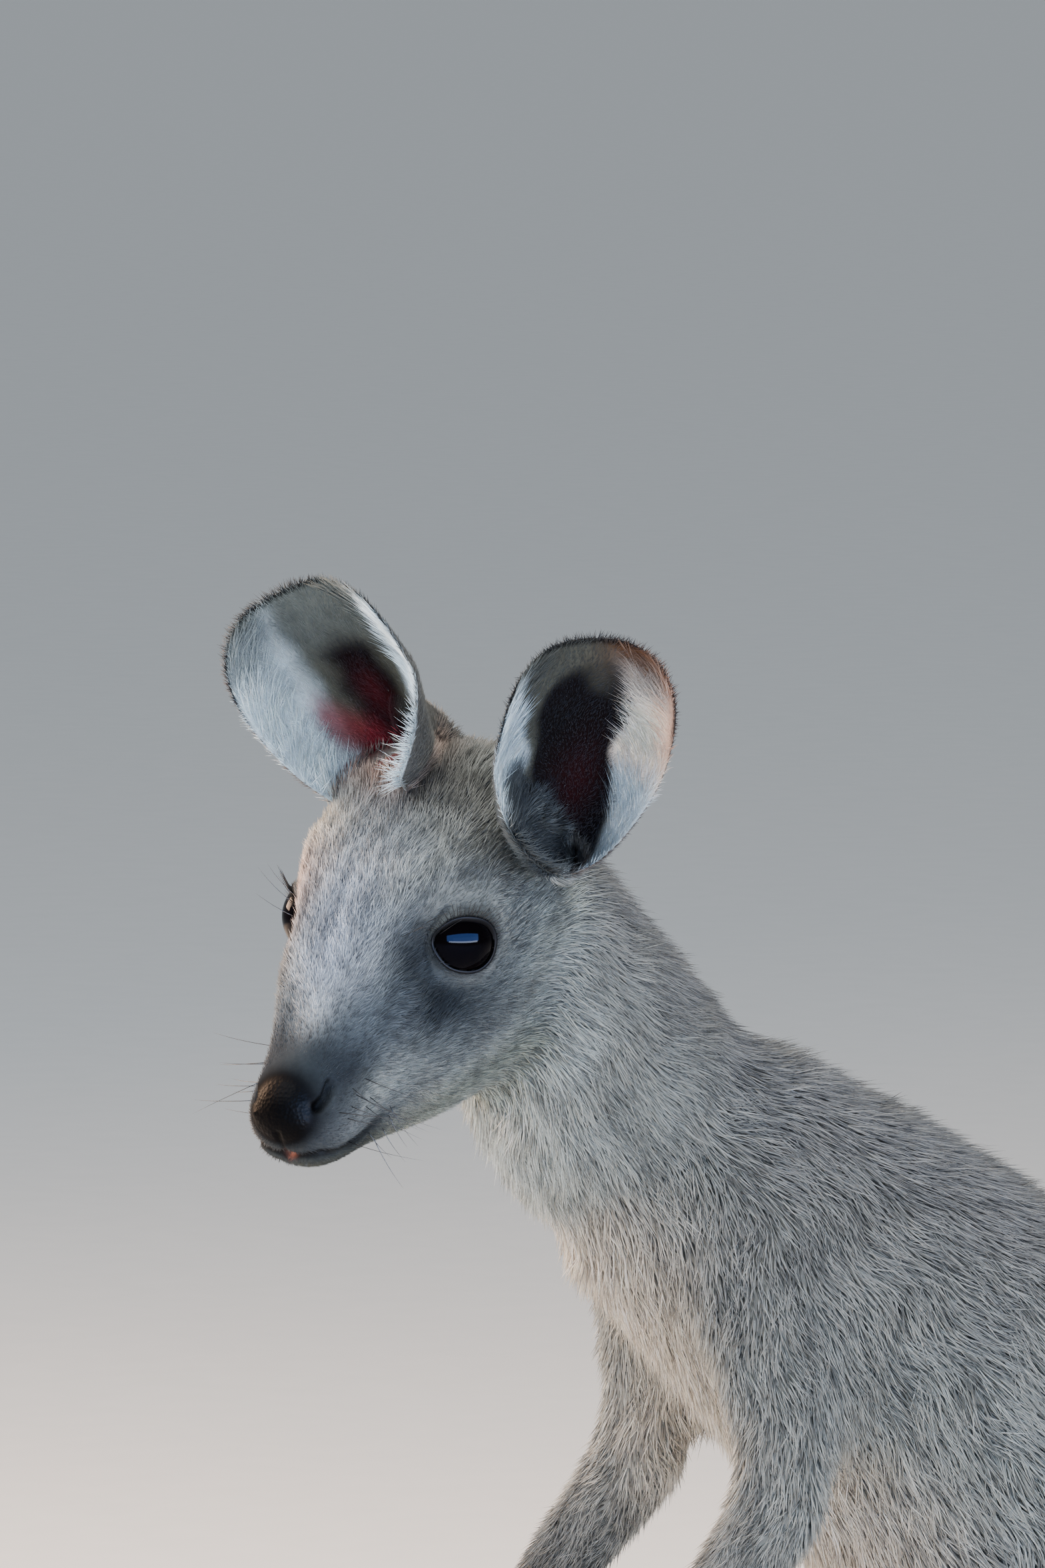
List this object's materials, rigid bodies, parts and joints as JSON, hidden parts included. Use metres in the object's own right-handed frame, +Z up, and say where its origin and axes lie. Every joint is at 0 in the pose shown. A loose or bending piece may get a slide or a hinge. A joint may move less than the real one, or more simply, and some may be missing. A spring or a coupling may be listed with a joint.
{
  "type": "grey kangaroo joey",
  "caption": "Life-size still model of a young grey kangaroo standing on its hind feet and tail, head turned to its left and lowered, ears raised.",
  "frame": {"origin": "middle of the whole animal's box at floor level", "axes": "+X the way the body faces, +Y its left side, +Z up"},
  "size_m": [0.6658, 0.1714, 0.5071],
  "materials": {
    "grey_fur": "short soft grey-brown coat, banded hairs, matt",
    "pale_fur": "soft pale grey to cream coat, matt",
    "dark_fur": "very short dark brown to black coat, matt",
    "nose_skin": "bare pebbled skin, slightly moist",
    "eye": "wet dark brown eye, mirror gloss",
    "claw": "dark horn, satin"
  },
  "bodies": {
    "root": {"chest": "pale_fur", "claw_finger_1_left": "claw", "claw_finger_1_right": "claw", "claw_finger_2_left": "claw", "claw_finger_2_right": "claw", "claw_finger_3_left": "claw", "claw_finger_3_right": "claw", "claw_finger_4_left": "claw", "claw_finger_4_right": "claw", "claw_finger_5_left": "claw", "claw_finger_5_right": "claw", "claw_grooming_toe_inner_left": "claw", "claw_grooming_toe_inner_right": "claw", "claw_grooming_toe_outer_left": "claw", "claw_grooming_toe_outer_right": "claw", "claw_long_toe_left": "claw", "claw_long_toe_right": "claw", "claw_outer_toe_left": "claw", "claw_outer_toe_right": "claw", "ear_left": "grey_fur", "ear_right": "grey_fur", "eye_left": "eye", "eye_right": "eye", "foot_left": "grey_fur", "foot_right": "grey_fur", "forearm_left": "grey_fur", "forearm_right": "grey_fur", "hand_left": "dark_fur", "hand_right": "dark_fur", "head": "grey_fur", "hindquarters": "grey_fur", "lower_jaw": "pale_fur", "neck": "grey_fur", "nose": "nose_skin", "shank_left": "grey_fur", "shank_right": "grey_fur", "tail_base": "grey_fur", "tail_end": "grey_fur", "tail_middle": "grey_fur", "thigh_left": "grey_fur", "thigh_right": "grey_fur", "upper_arm_left": "grey_fur", "upper_arm_right": "grey_fur"}
  },
  "joints": []
}
